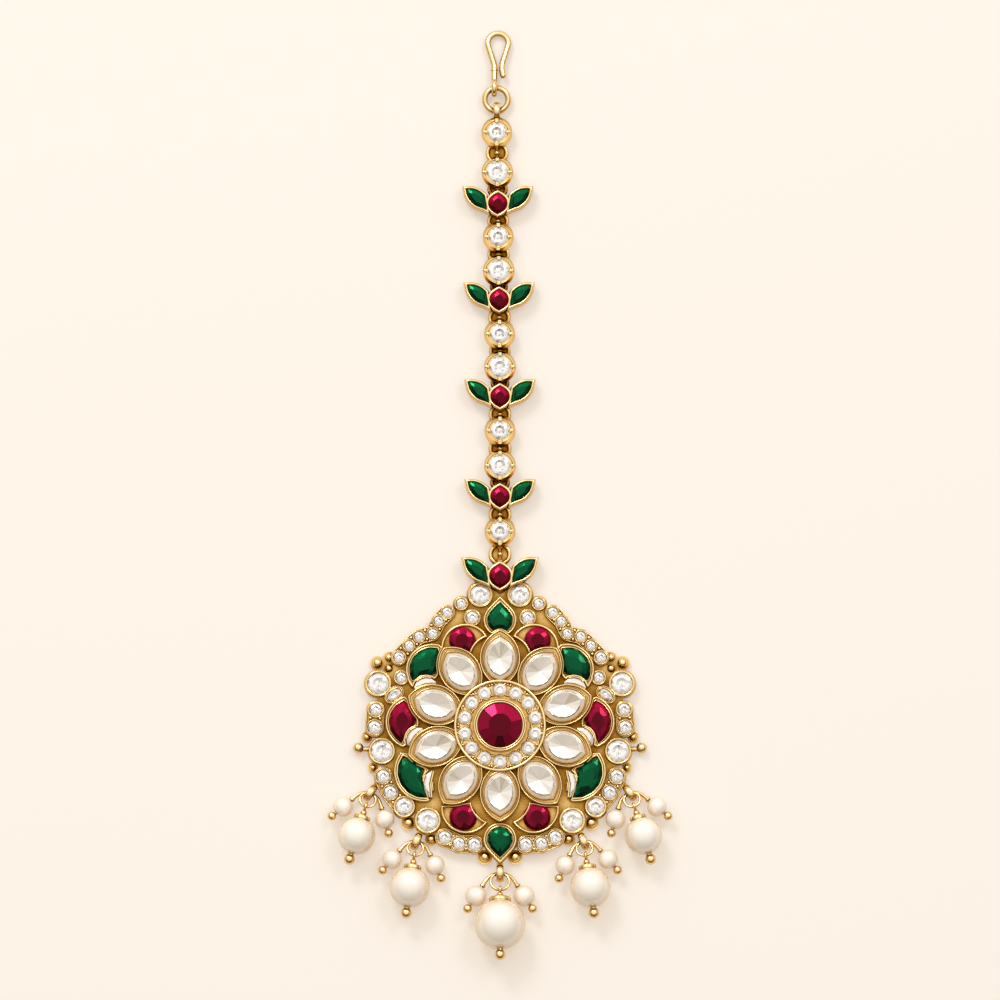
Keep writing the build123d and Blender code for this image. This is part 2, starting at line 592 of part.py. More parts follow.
def drop_parts(pearl_r, scale):
    """One drop, hung from the origin along -Y: ring, yoke with end balls, pin, pearl and two small pearls."""
    bead = SMALL_PEARL_R * (0.92 if scale < 1 else 1)
    bow = YOKE_R * scale
    reach = bow * sin(radians(YOKE_SWING)), -bow * (1 - cos(radians(YOKE_SWING)))
    bead_at = YOKE_COLLAR + YOKE_COLLAR_W + bead
    ball_at = bead_at + bead + YOKE_BALL + 0.08
    bead_y = reach[1] - bead_at * sin(radians(YOKE_SWING))
    tilt = degrees(asin((bead - YOKE_Z) / -bead_y))

    tip = reach[0] + YOKE_COLLAR * cos(radians(YOKE_SWING)), reach[1] - YOKE_COLLAR * sin(radians(YOKE_SWING))
    bend = ThreePointArc((-reach[0], reach[1]), (0, 0), reach)
    path = Wire([Line((-tip[0], tip[1]), bend @ 0).edge(), bend.edge(), Line(bend @ 1, tip).edge()])
    yoke = sweep(Plane(origin=path @ 0, z_dir=path % 0) * Circle(YOKE_WIRE), path=path)
    beads = []
    for side in (-1, 1):
        arm = Pos(side * reach[0], reach[1]) * Rot(Z=side * (90 - YOKE_SWING)) * Rot(X=90)
        yoke += arm * Pos(0, 0, YOKE_COLLAR) * Cylinder(YOKE_WIRE + 0.16, 0.3)
        yoke += arm * Pos(0, 0, (YOKE_COLLAR + ball_at) / 2) * Cylinder(YOKE_PIN, ball_at - YOKE_COLLAR)
        yoke += arm * Pos(0, 0, ball_at) * Sphere(YOKE_BALL)
        beads.append(arm * Pos(0, 0, bead_at) * (Sphere(bead) - Cylinder(YOKE_PIN + 0.05, 3 * bead)))
    flat = Pos(0, 0, YOKE_Z) * Rot(X=-tilt)

    ring_r = 1.47 if scale == 1 else 1.25
    ring = Pos(0, 0, DROP_RING_Z) * Rot(X=-DROP_RING_TILT) * Pos(0, -ring_r) * Torus(ring_r, DROP_RING_WIRE)
    eye_y = -2 * ring_r * cos(radians(DROP_RING_TILT))
    eye_z = DROP_RING_Z + 2 * ring_r * sin(radians(DROP_RING_TILT))
    pearl_y = -PEARL_GAP - pearl_r
    length = hypot(pearl_y - eye_y, pearl_r - eye_z)
    slope = degrees(atan2(pearl_r - eye_z, eye_y - pearl_y))
    along = Pos(0, eye_y, eye_z) * Rot(X=-slope) * Rot(X=90)

    cap_r, pin_end = 0.41 * pearl_r, length + pearl_r + PIN_BALL + 0.05
    cap = Pos(0, 0, length - pearl_r - 0.1) * Cone(0.45, cap_r, 1.1) - Pos(0, 0, length) * Sphere(pearl_r + 0.04)
    pin = Rot(Y=90) * Torus(0.5, 0.2) + Pos(0, 0, (pin_end + 0.45) / 2) * Cylinder(0.25, pin_end - 0.45)
    pin += cap
    pin += Pos(0, 0, length + pearl_r + 0.12) * Cylinder(0.5, 0.16)
    pin += Pos(0, 0, pin_end) * Sphere(PIN_BALL)
    pearl = Pos(0, 0, length) * (Sphere(pearl_r) - Cylinder(0.3, 3 * pearl_r))
    return ring, flat * yoke, along * pin, along * pearl, [flat * b for b in beads]


def write(name, shape):
    solids = shape if isinstance(shape, list) else [shape]
    flat = [s for item in solids for s in item.solids()]
    export_step(flat[0] if len(flat) == 1 else Compound(flat), f"parts/{name}.step")


os.makedirs("parts", exist_ok=True)

links, crystals, rubies, emeralds, rings = chain_links()
write("hair_hook", hair_hook())
write("hook_ring", hook_ring())
for name, link in links.items():
    write(name, link)
write("joining_rings", rings)
write("chain_crystals", crystals)
write("chain_rubies", rubies)
write("chain_emeralds", emeralds)

accents = accent_stones()
write("pendant_frame", pendant_frame(accents))
for name, girdle, centre in accents:
    write(name, cut_stone(girdle, centre, ACCENT_TOP - 0.97, ACCENT_TOP - 0.1, ACCENT_TOP + 0.35, foot=0.7))
for k in range(PETALS):
    write(f"petal_stone_{k + 1}", petal_stone(90 + 360 / PETALS * k))
write("crescents", [cut_stone(points, centre, CRESCENT_TOP - 0.77, CRESCENT_TOP - 0.1, CRESCENT_TOP + 0.2)
                    for points, centre in crescents()])
write("centre_ruby", cut_stone(round_girdle(0, 0, CENTRE_STONE_R, 12), (0, 0), CENTRE_TOP - 0.97,
                               CENTRE_TOP - 0.1, CENTRE_TOP + 0.65, foot=0.6, table=0.52))
write("halo_crystals", [
    cut_stone(round_girdle(HALO_PITCH_R * cos(t), HALO_PITCH_R * sin(t), HALO_STONE_R),
              (HALO_PITCH_R * cos(t), HALO_PITCH_R * sin(t)), HALO_TOP - 0.97, HALO_TOP - 0.25, HALO_TOP + 0.1)
    for t in halo_angles()])
rim_stones = [(round_girdle(side * x, y, stone), (side * x, y))
              for side in (-1, 1) for x, y, _, stone in RIM + INNER]
rim_stones += [(half_moon(side), middle_of(half_moon(side))) for side in (-1, 1)]
write("rim_crystals", [cut_stone(girdle, centre, SEAT_Z + 0.03, RIM_TOP - 0.1, RIM_TOP + 0.25)
                       for girdle, centre in rim_stones])
crest = Pos(0, CREST_Y)
oval = oval_girdle(CREST_SCALE)
write("crest_ruby", crest * cut_stone(oval, (0, 0), LINK_TOP - 0.47, LINK_TOP + 0.2, LINK_TOP + 0.7))
write("crest_emeralds", [
    crest * cut_stone(leaf, middle_of(leaf), LINK_TOP - 0.47, LINK_TOP + 0.15, LINK_TOP + 0.5)
    for leaf in (leaf_girdle(side, CREST_SCALE) for side in (-1, 1))])

drop_rings, drop_yokes, pearl_pins, small_pearls = [], [], [], []
for name, x, y, _, fan, pearl_r, scale in DROPS:
    ring, yoke, pin, pearl, beads = drop_parts(pearl_r, scale)
    for side, hand in (((-1, "left"), (1, "right")) if x else ((1, ""),)):
        place = Pos(side * x, y) * Rot(Z=side * fan)
        drop_rings.append(place * ring)
        drop_yokes.append(place * yoke)
        pearl_pins.append(place * pin)
        small_pearls += [place * b for b in beads]
        write(f"pearl_{name}_{hand}".rstrip("_"), place * pearl)
write("drop_rings", drop_rings)
write("drop_yokes", drop_yokes)
write("pearl_pins", pearl_pins)
write("small_pearls", small_pearls)
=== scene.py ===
from math import acos, asin, atan2, cos, degrees, pi, radians, sin, tan

import bmesh
import bpy
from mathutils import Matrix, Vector


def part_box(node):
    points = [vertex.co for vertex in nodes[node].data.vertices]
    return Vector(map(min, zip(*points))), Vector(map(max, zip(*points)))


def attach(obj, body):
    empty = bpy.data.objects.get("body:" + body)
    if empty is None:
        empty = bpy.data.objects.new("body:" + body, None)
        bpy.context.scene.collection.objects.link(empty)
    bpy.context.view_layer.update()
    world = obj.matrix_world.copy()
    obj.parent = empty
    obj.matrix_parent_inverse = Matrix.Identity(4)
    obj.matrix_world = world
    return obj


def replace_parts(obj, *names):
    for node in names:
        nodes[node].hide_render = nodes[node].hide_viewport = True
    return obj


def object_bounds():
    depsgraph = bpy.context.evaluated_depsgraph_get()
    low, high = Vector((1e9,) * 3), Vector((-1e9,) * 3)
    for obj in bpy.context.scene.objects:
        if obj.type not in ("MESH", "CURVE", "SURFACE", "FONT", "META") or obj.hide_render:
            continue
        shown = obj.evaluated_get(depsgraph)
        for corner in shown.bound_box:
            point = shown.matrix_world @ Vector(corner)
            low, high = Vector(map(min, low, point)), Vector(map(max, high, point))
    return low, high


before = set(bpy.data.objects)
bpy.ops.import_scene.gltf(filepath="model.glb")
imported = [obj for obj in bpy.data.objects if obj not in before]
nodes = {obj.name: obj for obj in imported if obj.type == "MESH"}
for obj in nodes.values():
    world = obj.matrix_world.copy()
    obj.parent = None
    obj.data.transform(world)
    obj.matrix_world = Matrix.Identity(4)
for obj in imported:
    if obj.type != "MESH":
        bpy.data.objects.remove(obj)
cad_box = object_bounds()

# ---------------------------------------------------------------- hair hook and its ring
# A round wire bent to a long drop, with an eye at its foot round the ring that carries the chain. It is brass
# under a thick yellow gilding whose colour carries painted light: a painted highlight on level tops, painted
# shade deep orange down the sides and red-brown in corners and hollows.

MM = 0.001
# The three gold colours are painted light: lit on level tops, a painted mid shade and a painted corner shade.
GOLD_PAINTED_LIT, GOLD_PAINTED_MID_SHADE, GOLD_SHADE = (1.0, 0.77, 0.37), (0.76, 0.39, 0.045), (0.17, 0.052, 0.0)


class Tone:
    """What varies over a surface: a node's output that can be added to, subtracted from and multiplied."""

    def __init__(self, tree, socket=None):
        self.tree, self.socket = tree, socket

    def node(self, kind, settings=None, sockets=None, out=0):
        made = self.tree.nodes.new(kind)
        for name, value in (settings or {}).items():
            if name == "stops":
                while len(made.color_ramp.elements) < len(value):
                    made.color_ramp.elements.new(1.0)
                for element, (place, shade) in zip(made.color_ramp.elements, value):
                    element.position, element.color = place, (*shade, 1.0)
            else:
                setattr(made, name, value)
        for name, value in (sockets or {}).items():
            if isinstance(value, Tone):
                self.tree.links.new(value.socket, made.inputs[name])
            else:
                made.inputs[name].default_value = value
        return Tone(self.tree, made.outputs[out])

    def maths(self, operation, *values):
        return self.node("ShaderNodeMath", {"operation": operation}, dict(enumerate(values)))

    def __add__(self, other):
        return self.maths("ADD", self, other)

    def __sub__(self, other):
        return self.maths("SUBTRACT", self, other)

    def __rsub__(self, other):
        return self.maths("SUBTRACT", other, self)

    def __mul__(self, other):
        return self.maths("MULTIPLY", self, other)

    __radd__, __rmul__ = __add__, __mul__

    def between(self, low, high):
        """A colour that goes from low to high as this value goes from 0 to 1."""
        ends = [end if isinstance(end, Tone) else (*end, 1.0) for end in (low, high)]
        return self.node("ShaderNodeMix", {"data_type": "RGBA"}, {0: self, 6: ends[0], 7: ends[1]}, out=2)


def finish(name, base, settings, rough=None, relief=None, depth=0.0):
    """A material with one glossy shader: base, rough and relief are made from its starting tone."""
    material = bpy.data.materials.new(name)
    material.use_nodes = True
    tree = material.node_tree
    shader = tree.nodes["Principled BSDF"]
    for socket, value in settings.items():
        shader.inputs[socket].default_value = value
    start = Tone(tree)
    place = start.node("ShaderNodeTexCoord", out=3)
    tree.links.new(base(start, place).socket, shader.inputs["Base Color"])
    if rough:
        tree.links.new(rough(start, place).socket, shader.inputs["Roughness"])
    if relief:
        bump = start.node("ShaderNodeBump", None, {"Strength": depth, "Distance": 0.1 * MM,
                                                   "Height": relief(start, place)})
        tree.links.new(bump.socket, shader.inputs["Normal"])
    return material


def cloud(start, place, size, detail=3.0):
    """Soft noise whose patches are about size millimetres across."""
    return start.node("ShaderNodeTexNoise", None,
                      {"Vector": place, "Scale": 1.0 / (size * MM), "Detail": detail})


def level(start):
    """1 where a surface lies level, 0 where it stands upright."""
    return start.node("ShaderNodeSeparateXYZ", None, {0: start.node("ShaderNodeNewGeometry", out=1)}, out=2)


def gilded_with_painted_light(start, place):
    """Gold with painted light: a painted highlight on level tops, painted shade deep orange down the sides
    and red-brown in corners and hollows that occlusion finds.
    """
    painted_shade_openness = start.node("ShaderNodeAmbientOcclusion", {"samples": 6}, {"Distance": 1.7 * MM}, out=1)
    # reach is the painted shade mask, low in corners and hollows and high in the open.
    reach = start.node("ShaderNodeMapRange", {"interpolation_type": "SMOOTHSTEP"},
                       {"Value": painted_shade_openness, "From Min": 0.31, "From Max": 0.93})
    painted_top_light = start.node("ShaderNodeMapRange", None,
                        {"Value": level(start), "From Min": 0.2, "From Max": 0.9})
    # Painted light level: highest on open level tops, lower down the sides and in corners, varied by a random
    # cloud.
    painted_light_level = reach * (painted_top_light * 0.5 + 0.5) - cloud(start, place, 2.5) * 0.2 + 0.12
    stops = [(0.0, GOLD_SHADE), (0.52, GOLD_PAINTED_MID_SHADE), (0.97, GOLD_PAINTED_LIT)]
    return start.node("ShaderNodeValToRGB", {"stops": stops}, {0: painted_light_level})


def polish(start, place):
    return cloud(start, place, 0.6) * 0.16 + 0.12


def hammered(start, place):
    return cloud(start, place, 0.5, 2.0)


gold = finish("gold", gilded_with_painted_light, {"Metallic": 1.0}, polish, hammered, 0.12)


def dress(name, material):
    """Gives its finish to a part whose own mesh is shown."""
    part = nodes[name]
    part.data.materials.clear()
    part.data.materials.append(material)


for name in ("hair_hook", "hook_ring"):
    dress(name, gold)

# ---------------------------------------------------------------- jump rings and lugs of the chain
# Each link has a cast loop above and below, and a ring of round wire lies flat through the loops of two
# neighbours. They are cast and drawn brass with the same gilding. A flat gold disc inside each ring is put
# where there is only shade, to carry the gilding's painted shade.

for name in ("joining_rings", *(name for name in nodes if name.startswith(("stone_link", "flower_link")))):
    dress(name, gold)


def welded(name, distance=0.002):
    """A part's mesh with the corners that lie within distance of one another made one."""
    mesh = bmesh.new()
    mesh.from_mesh(nodes[name].data)
    bmesh.ops.remove_doubles(mesh, verts=mesh.verts, dist=distance * MM)
    return mesh


def islands(mesh):
    """The corners of each separate piece of a mesh, in an order that is the same each time."""
    known, found = set(), []
    for first in mesh.verts:
        if first in known:
            continue
        island = [first]
        known.add(first)
        for vert in island:
            near = [edge.other_vert(vert) for edge in vert.link_edges]
            island += [other for other in near if other not in known]
            known.update(near)
        found.append(island)
    return found


def pieces(name):
    """The corners of each separate piece of a part, in millimetres."""
    mesh = welded(name)
    found = [[vert.co / MM for vert in island] for island in islands(mesh)]
    mesh.free()
    return found


class Shape:
    """Vertices and faces of a piece while it is being put together; kinds tells which finish a face has."""

    def __init__(self):
        self.vertices, self.faces, self.kinds = [], [], []

    def add(self, vertices, faces, kinds=None):
        base = len(self.vertices)
        self.vertices += vertices
        self.faces += [tuple(base + corner for corner in face) for face in faces]
        self.kinds += kinds or [0] * len(faces)

    def band(self, rows, closed=True, kind=0):
        """A skin over rows of equally many points; each row is a closed loop unless closed is false."""
        count = len(rows[0])
        faces = []
        for row in range(len(rows) - 1):
            for k in range(count if closed else count - 1):
                a, b = row * count + k, row * count + (k + 1) % count
                faces.append((a, b, b + count, a + count))
        self.add([tuple(point) for row in rows for point in row], faces, [kind] * len(faces))

    def lathe(self, foot, way, profile, count=32):
        """A turned form round the line from foot along way; profile gives radii and distances from foot."""
        side = way.orthogonal().normalized()
        turns = [2 * pi * k / count for k in range(count)]
        spokes = [side * cos(turn) + way.cross(side) * sin(turn) for turn in turns]
        self.band([[foot + way * height + spoke * radius for spoke in spokes] for radius, height in profile])

    def ball(self, x, y, z, radius):
        mesh = bmesh.new()
        bmesh.ops.create_icosphere(mesh, subdivisions=2, radius=radius)
        self.add([(x + v.co.x, y + v.co.y, z + v.co.z) for v in mesh.verts],
                 [tuple(v.index for v in face.verts) for face in mesh.faces])
        mesh.free()


def circle(middle, radius, count=48, start=0.0):
    turns = [start + 2 * pi * k / count for k in range(count)]
    return [middle + Vector((radius * cos(turn), radius * sin(turn))) for turn in turns]


def solid(name, shape, material, smooth=35, second=None):
    """Makes a piece from millimetres, lets it ride with the jewel and gives it its finish."""
    mesh = bpy.data.meshes.new(name)
    mesh.from_pydata([Vector(vertex) * MM for vertex in shape.vertices], [], shape.faces)
    if smooth:
        mesh.shade_smooth()
        mesh.set_sharp_from_angle(angle=radians(smooth))
    mesh.materials.append(material)
    if second:
        mesh.materials.append(second)
        mesh.polygons.foreach_set("material_index", shape.kinds)
    piece = bpy.data.objects.new(name, mesh)
    bpy.context.scene.collection.objects.link(piece)
    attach(piece, "root")
    return piece


RING_THICKNESS, WEB_TOP, WEB_OVERLAP = 0.66, 0.7, 0.2
LUG_HALF_WIDTH, LUG_FOOT, LUG_RISE, LUG_NEAR, LUG_OVERLAP = 0.30, 0.4, 1.2, 0.1, 0.3
KNOB_HEIGHT, KNOB_RADIUS = 1.45, 0.40
# Inside each ring: a flat disc that only carries painted shade, then an arched lug and a knob.
shade_webs_and_lugs = Shape()
for ring in pieces("joining_rings"):
    west, east = min(corner.x for corner in ring), max(corner.x for corner in ring)
    south, north = min(corner.y for corner in ring), max(corner.y for corner in ring)
    middle, inside = Vector(((west + east) / 2, (south + north) / 2)), (east - west) / 2 - RING_THICKNESS
    edge, near, far = inside + WEB_OVERLAP, LUG_NEAR, inside + LUG_OVERLAP
    shade_webs_and_lugs.band([[(*point, height) for point in circle(middle, radius, 32)]
               for radius, height in ((edge, 0.05), (edge, WEB_TOP), (0.01, WEB_TOP))])
    arch = [(LUG_HALF_WIDTH * cos(pi * k / 8), LUG_FOOT + LUG_RISE * sin(pi * k / 8)) for k in range(9)]
    shade_webs_and_lugs.band([[(middle.x + across, middle.y + along, height) for across, height in arch]
               for along in (-far, -near, -near, near, near, far)], closed=False)
    shade_webs_and_lugs.ball(middle.x, middle.y, KNOB_HEIGHT, KNOB_RADIUS)
solid("ring_shade_webs_and_lugs", shade_webs_and_lugs, gold, 50)

# ---------------------------------------------------------------- round crystals of the chain
# White crystals in round collets. The wall of a collet is filed down between its four claws, so its bright
# edge runs from claw to claw as a rounded square, and each claw is a stubby wedge pressed over the stone.

# CRYSTAL_PAINTED_SHADE is the painted shade of the darker facets.
CRYSTAL_CLEAR, CRYSTAL_PAINTED_SHADE = (1.0, 0.985, 0.96), (0.34, 0.30, 0.25)
COLLET_FLAT, COLLET_CORNER, COLLET_SKIRT = 0.24, 0.37, (-0.42, -0.55, -0.95)
COLLET_LIP = ((-0.11, 0.10), (-0.05, 0.22), (0.04, 0.23), (0.11, 0.10))
CLAW_PROFILE = ((-0.26, 0.10, 0.08), (-0.20, 0.17, 0.26), (0.10, 0.22, 0.42), (0.50, 0.22, 0.40),
                (0.66, 0.17, 0.24), (0.68, 0.15, -0.4))
CLAW_ACROSS, CLAW_FOOT = ((-1, 0.14), (-0.75, 0.03), (0, 0), (0.75, 0.03), (1, 0.14)), 0.4
CHAIN_CUT = [(1.0, -0.3, 0), (1.0, 0.0, 0), (0.80, 0.22, 1), (0.56, 0.34, 0), (0.50, 0.34, 0),
             (0.26, 0.05, 1), (0.0, 0.2, 0)]


def gem_islands(name):
    """The stones of one part: the girdle of each in order, its middle, and the height of the girdle, which is
    the second one from below."""
    mesh, found = welded(name), []
    for island in islands(mesh):
        heights = sorted({round(vert.co.z / MM, 2) for vert in island})
        waist = heights[1]
        ring = [vert for vert in island if abs(vert.co.z / MM - waist) < 0.006]
        path = [ring[0]]
        while True:
            near = [edge.other_vert(path[-1]) for edge in path[-1].link_edges]
            ahead = [vert for vert in near if vert in ring and vert not in path]
            if not ahead:
                break
            path.append(ahead[0])
        points = [Vector((vert.co.x / MM, vert.co.y / MM)) for vert in path]
        if turning(points) < 0:
            points.reverse()
        found.append((points, sum(points, Vector((0, 0))) / len(points), waist))
    mesh.free()
    return sorted(found, key=lambda gem: (round(gem[1].y, 1), gem[1].x))


def turning(points):
    """Twice the area inside a loop, above zero where it runs anticlockwise."""
    return sum(a.x * b.y - b.x * a.y for a, b in zip(points, points[1:] + points[:1]))


def reach_of(points, middle):
    return max((point - middle).length for point in points)


def rounded_square(middle, flat, corner, count=64):
    """A loop that stands out to the radius corner at the four claws and draws in to flat between them."""
    points = []
    for k in range(count):
        turn = 2 * pi * k / count
        claw = abs(cos(2 * turn)) ** 0.8 if cos(2 * turn) > 0 else 0.0
        side = abs(sin(2 * turn)) ** 1.5
        reach = corner - (corner - flat) * max(side, 1 - claw)
        points.append(middle + reach * Vector((cos(turn), sin(turn))))
    return points


def cut_gem(shape, girdle, middle, rows):
    """Facets in rows from the girdle inwards: each row is its share of the girdle's size, its height, and 1
    where it is turned by half a facet. The last row closes with a flat table, or a point where share is 0."""
    count = len(girdle)
    rings = []
    for share, height, half in rows:
        ring = []
        for k in range(count):
            point = (girdle[k] + girdle[(k + 1) % count]) / 2 if half else girdle[k]
            spot = middle + (point - middle) * share
            ring.append((spot.x, spot.y, height))
        rings.append((ring, half))
    vertices = [vertex for ring, _ in rings for vertex in ring]
    faces = []
    for row in range(len(rings) - 1):
        low, high = row * count, (row + 1) * count
        shift = rings[row + 1][1] - rings[row][1]
        for k in range(count):
            n = (k + 1) % count
            if shift == 0:
                faces.append((low + k, low + n, high + n, high + k))
            elif shift > 0:
                faces += [(low + k, low + n, high + k), (low + n, high + n, high + k)]
            else:
                faces += [(low + k, low + n, high + n), (low + k, high + n, high + k)]
    last = (len(rings) - 1) * count
    if rows[-1][0] > 0:
        faces.append(tuple(last + k for k in range(count)))
    else:
        vertices = vertices[:last + 1]
        faces = [tuple(dict.fromkeys(min(corner, last) for corner in face)) for face in faces]
    shape.add(vertices, [face for face in faces if len(face) > 2])


def raised(rows, waist, scale=1.0):
    """The rows of a cut for a stone whose girdle is at the height waist."""
    return [(share, waist + height * scale, half) for share, height, half in rows]


# Used as a mask for painted reflections, lighter or darker on each facet.
def per_facet(start, fineness):
    """0 to 1, a different share for each facet, told apart by the way it faces."""
    way = start.node("ShaderNodeNewGeometry", out=3)
    mixed = start.node("ShaderNodeTexVoronoi", None, {"Vector": way, "Scale": fineness}, out=1)
    return start.node("ShaderNodeMapRange", None, {"Value": mixed, "From Min": 0.25, "From Max": 0.75})


# The crystals' grey and white facets are painted reflection and shade, a random share for each facet.
def icy_with_painted_facets(start, place):
    return (per_facet(start, 6.0) * 1.6 + 0.25).between(CRYSTAL_PAINTED_SHADE, CRYSTAL_CLEAR)


def icy_painted_lighter(start, place):
    """As icy_with_painted_facets, with the painted shade of its facets lifted, so its darker facets are
    painted lighter too.
    """
    return (per_facet(start, 6.0) * 1.2 + 0.7).between(CRYSTAL_PAINTED_SHADE, CRYSTAL_CLEAR)


crystal = finish("crystal", icy_with_painted_facets, {"Metallic": 0.3, "Roughness": 0.05, "Coat Weight": 1.0})
bright_crystal = finish("bright_crystal", icy_painted_lighter,
                        {"Metallic": 0.1, "Roughness": 0.12, "Coat Weight": 1.0})
claws, collets, gems = Shape(), Shape(), Shape()
link_boxes = [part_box(name) for name in nodes if name.startswith("stone_link")]
for girdle, middle, waist in gem_islands("chain_crystals"):
    radius = reach_of(girdle, middle) + 0.12
    low, high = min(link_boxes, key=lambda box: abs((box[0].y + box[1].y) / 2 / MM - middle.y))
    outer = (high.x - low.x) / 2 / MM + 0.15
    rows = [[(*point, waist - 0.25) for point in circle(middle, radius + 0.01, 64)]]
    for out, rise in COLLET_LIP:
        edge = rounded_square(middle, radius + COLLET_FLAT + out, radius + COLLET_CORNER + out)
        rows.append([(*point, waist + rise) for point in edge])
    rows += [[(*point, waist + rise) for point in circle(middle, outer, 64)] for rise in COLLET_SKIRT]
    collets.band(rows)
    for turn in (0, pi):
        along, across = Vector((cos(turn), sin(turn))), Vector((-sin(turn), cos(turn)))
        rows = []
        for out, half, rise in CLAW_PROFILE:
            spot = middle + along * (radius + out)
            row = [(*(spot + across * half * share), waist + rise - drop) for share, drop in CLAW_ACROSS]
            rows.append([(*row[0][:2], waist - CLAW_FOOT), *row, (*row[-1][:2], waist - CLAW_FOOT)])
        claws.band(rows, closed=False)
    for side in (-1, 1):
        claws.ball(middle.x, middle.y + side * (radius + 0.10), waist + 0.16, 0.25)
    cut_gem(gems, circle(middle, radius + 0.02, 12, pi / 12), middle, raised(CHAIN_CUT, waist))
solid("chain_collets", collets, gold, 50)
solid("chain_claws", claws, gold, 60)
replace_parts(solid("chain_crystal_cuts", gems, crystal, 0), "chain_crystals")

# ---------------------------------------------------------------- flower links
# A pointed oval ruby between two emerald leaves, each in a narrow upright bezel that is burnished round.
# The stones are glass on foil, with a small table and long facets.

# Lit and shaded copies of each stone colour, for painted light on the facets.
RUBY_PAINTED_LIT, RUBY_PAINTED_SHADE = (0.50, 0.004, 0.055), (0.055, 0.0, 0.002)
EMERALD_PAINTED_LIT, EMERALD_PAINTED_SHADE = (0.0, 0.185, 0.06), (0.0, 0.015, 0.006)


def even_loop(points, count):
    """The same loop with count evenly spaced points, the first on its sharpest corner. Of equally sharp ones,
    as in a round loop, it is the one nearest the hook."""
    def sharpness(k):
        before, after = points[k] - points[k - 1], points[(k + 1) % len(points)] - points[k]
        return round(before.angle(after), 3), round(points[k].y, 3), points[k].x
    first = max(range(len(points)), key=sharpness)
    points = points[first:] + points[:first]
    lengths = [(b - a).length for a, b in zip(points, points[1:] + points[:1])]
    total, spaced, at, walked = sum(lengths), [], 0, 0.0
    for k in range(count):
        goal = total * k / count
        while walked + lengths[at] < goal - 1e-9:
            walked += lengths[at]
            at += 1
        a, b = points[at], points[(at + 1) % len(points)]
        spaced.append(a.lerp(b, (goal - walked) / lengths[at]))
    return spaced


def curved(points, parts=4, corner=38):
    """The loop with each side bent through its neighbours, and its real corners kept."""
    count = len(points)
    ways = [(points[(k + 1) % count] - points[k]) for k in range(count)]
    sharp = [degrees(ways[k - 1].angle(ways[k])) > corner for k in range(count)]
    smooth = []
    for k in range(count):
        a, b = points[k], points[(k + 1) % count]
        before = a * 2 - b if sharp[k] else points[k - 1]
        after = b * 2 - a if sharp[(k + 1) % count] else points[(k + 2) % count]
        for part in range(parts):
            t = part / parts
            smooth.append(0.5 * (2 * a + (b - before) * t + (2 * before - 5 * a + 4 * b - after) * t * t
                                 + (3 * a - before - 3 * b + after) * t ** 3))
    return smooth


def moved_out(points, distance):
    """The loop moved outwards, with pointed corners; inwards where distance is below zero."""
    found = []
    for k, point in enumerate(points):
        before = (point - points[k - 1]).normalized()
        after = (points[(k + 1) % len(points)] - point).normalized()
        normal = Vector((before.y + after.y, -before.x - after.x)) / max(0.45, 1 + before.dot(after))
        found.append(point + normal * distance)
    return found


def bezel(shape, girdle, waist, wall, rise, skirt, flare=0.02):
    """An upright burnished rim round a stone: its inner lip leans over the stone, its outside goes down."""
    profile = [(-0.03, -0.12), (-0.02, 0.02), (0.15 * wall, 0.75), (0.4 * wall, 1.0), (0.65 * wall, 0.95),
               (0.9 * wall, 0.6), (wall, 0.0)]
    rows = [[(*point, waist + (lift * rise if k > 1 else lift)) for point in moved_out(girdle, out)]
            for k, (out, lift) in enumerate(profile)]
    shape.band(rows + [[(*point, skirt) for point in moved_out(girdle, wall + flare)]])


def painted_light_by_facing(start, width):
    """0 to 1 as a facet turns from facing the chin to facing the hook: the mask for painted light, lighter
    towards the hook.
    """
    facing = start.node("ShaderNodeSeparateXYZ", None, {0: start.node("ShaderNodeNewGeometry", out=1)}, out=1)
    return start.node("ShaderNodeMapRange", None, {"Value": facing, "From Min": -width, "From Max": width})


# Used to paint the table facet darker on a ruby and lighter on an emerald, a painted reflection.
def on_top(start):
    """1 on a level facet and 0 on one that leans by ten degrees."""
    return start.node("ShaderNodeMapRange", None,
                      {"Value": level(start), "From Min": 0.985, "From Max": 0.998})


# Painted light: facets facing the hook lighter, facing the chin darker, a random painted reflection per
# facet, table painted darker.
def ruby_red_with_painted_light(start, place):
    lit = painted_light_by_facing(start, 0.42)
    shade = lit * lit + per_facet(start, 5.0) * 0.35 - on_top(start) * 0.22 - 0.1
    return shade.between(RUBY_PAINTED_SHADE, RUBY_PAINTED_LIT)


# Painted light as for the ruby, but the table is painted a little lighter.
def leaf_green_with_painted_light(start, place):
    lit = painted_light_by_facing(start, 0.5)
    shade = lit * lit * 0.9 + per_facet(start, 5.0) * 0.45 + on_top(start) * 0.1 - 0.15
    return shade.between(EMERALD_PAINTED_SHADE, EMERALD_PAINTED_LIT)


FOILED = {"Metallic": 0.5, "Roughness": 0.10, "Specular IOR Level": 0.05, "Coat Weight": 0.10,
          "Coat Roughness": 0.03}
ruby, emerald = finish("ruby", ruby_red_with_painted_light, FOILED), finish("emerald", leaf_green_with_painted_light, FOILED)


def gem_set(name, piece, material, rows, parts=4, count=None, grown=0.0, walls=None, rim=None):
    """Cuts every stone of a part. Where walls is given, it gets a bezel round each, with rim's wall, rise
    and skirt. The outline is moved out by grown."""
    stones = Shape()
    for girdle, middle, waist in gem_islands(name):
        loop = moved_out(curved(girdle, parts), grown)
        if walls is not None:
            bezel(walls, loop, waist, *rim, flare=0.12)
        facets = even_loop(loop, count) if count else girdle
        cut_gem(stones, facets, middle, raised(rows, waist))
    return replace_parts(solid(piece, stones, material, 0), name)


